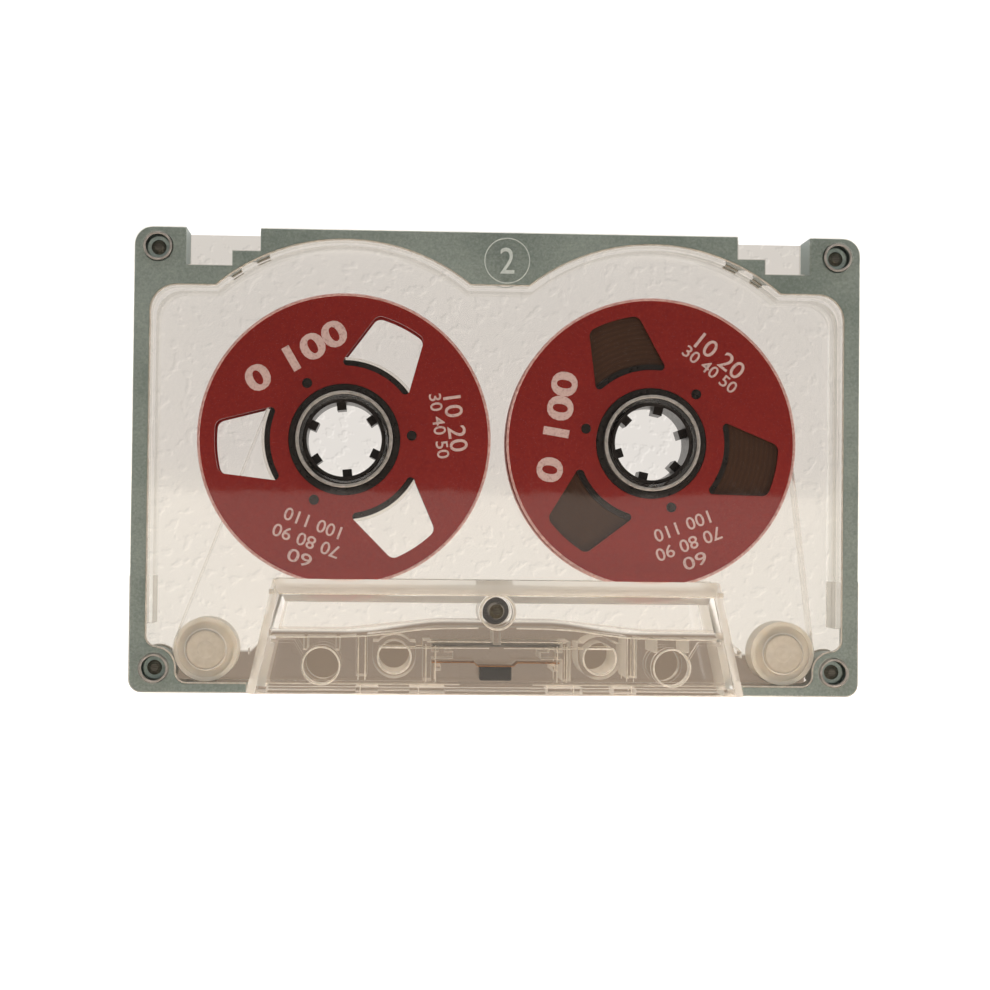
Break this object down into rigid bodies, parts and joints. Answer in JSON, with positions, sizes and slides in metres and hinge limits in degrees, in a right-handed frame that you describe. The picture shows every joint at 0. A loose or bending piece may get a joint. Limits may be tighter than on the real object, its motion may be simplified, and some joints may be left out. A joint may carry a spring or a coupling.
{
  "type": "audio cassette tape",
  "caption": "Compact audio cassette with clear shells, grey frame and red metal reels: hubs, rollers and pad move, tape on the right reel.",
  "frame": {"origin": "under the middle of the body, on the rear face of the head block", "axes": "+X along the long side, to the right of the front face; +Y towards the edge with the notches; +Z through the thickness, out of the front face"},
  "size_m": [0.1004, 0.0638, 0.012],
  "materials": {
    "clear_shell": "clear polystyrene, polished",
    "grey_frame": "satin blue-grey moulding",
    "screw_steel": "dark plated steel",
    "shield_steel": "thin nickel-iron sheet",
    "bronze_leaf": "phosphor bronze leaf",
    "felt": "dark felt",
    "clear_leader": "clear polyester film",
    "magnetic_tape": "dark brown oxide tape",
    "black_hub": "black acetal",
    "red_flange": "satin red anodised aluminium",
    "roller_plastic": "cream acetal"
  },
  "bodies": {
    "case": {"front_shell": "clear_shell", "rear_shell": "clear_shell", "front_frame": "grey_frame", "rear_frame": "grey_frame", "screws": "screw_steel", "magnetic_shield": "shield_steel", "leader_tape": "clear_leader"},
    "pad": {"pressure_pad": "felt", "leaf_spring": "bronze_leaf"},
    "left_reel": {"left_hub": "black_hub", "left_hub_clip": "black_hub", "left_front_flange": "red_flange", "left_rear_flange": "red_flange", "left_leader_turns": "clear_leader"},
    "left_roller_body": {"left_roller": "roller_plastic"},
    "right_reel": {"right_hub": "black_hub", "right_hub_clip": "black_hub", "right_front_flange": "red_flange", "right_rear_flange": "red_flange", "right_tape_pack": "magnetic_tape"},
    "right_roller_body": {"right_roller": "roller_plastic"}
  },
  "joints": [
    {"name": "right_reel_spin", "type": "hinge", "parent": "case", "child": "right_reel", "pos_m": [0.02125, 0.003, 0.006], "axis": [0, 0, 1], "continuous": true},
    {"name": "left_reel_spin", "type": "hinge", "parent": "case", "child": "left_reel", "pos_m": [-0.02125, 0.003, 0.006], "axis": [0, 0, 1], "continuous": true},
    {"name": "left_roller_spin", "type": "hinge", "parent": "case", "child": "left_roller_body", "pos_m": [-0.03985, -0.026, 0.006], "axis": [0, 0, 1], "continuous": true},
    {"name": "right_roller_spin", "type": "hinge", "parent": "case", "child": "right_roller_body", "pos_m": [0.03985, -0.026, 0.006], "axis": [0, 0, 1], "continuous": true},
    {"name": "pad_press", "type": "slide", "parent": "case", "child": "pad", "axis": [0, 1, 0], "range_m": [0, 0.0005], "stiffness_N_per_m": 250}
  ],
  "couplings": [
    {"joint": "left_reel_spin", "follows": "right_reel_spin", "ratio": 1.6987},
    {"joint": "left_roller_spin", "follows": "right_reel_spin", "ratio": 4.3708},
    {"joint": "right_roller_spin", "follows": "right_reel_spin", "ratio": 4.3708}
  ]
}
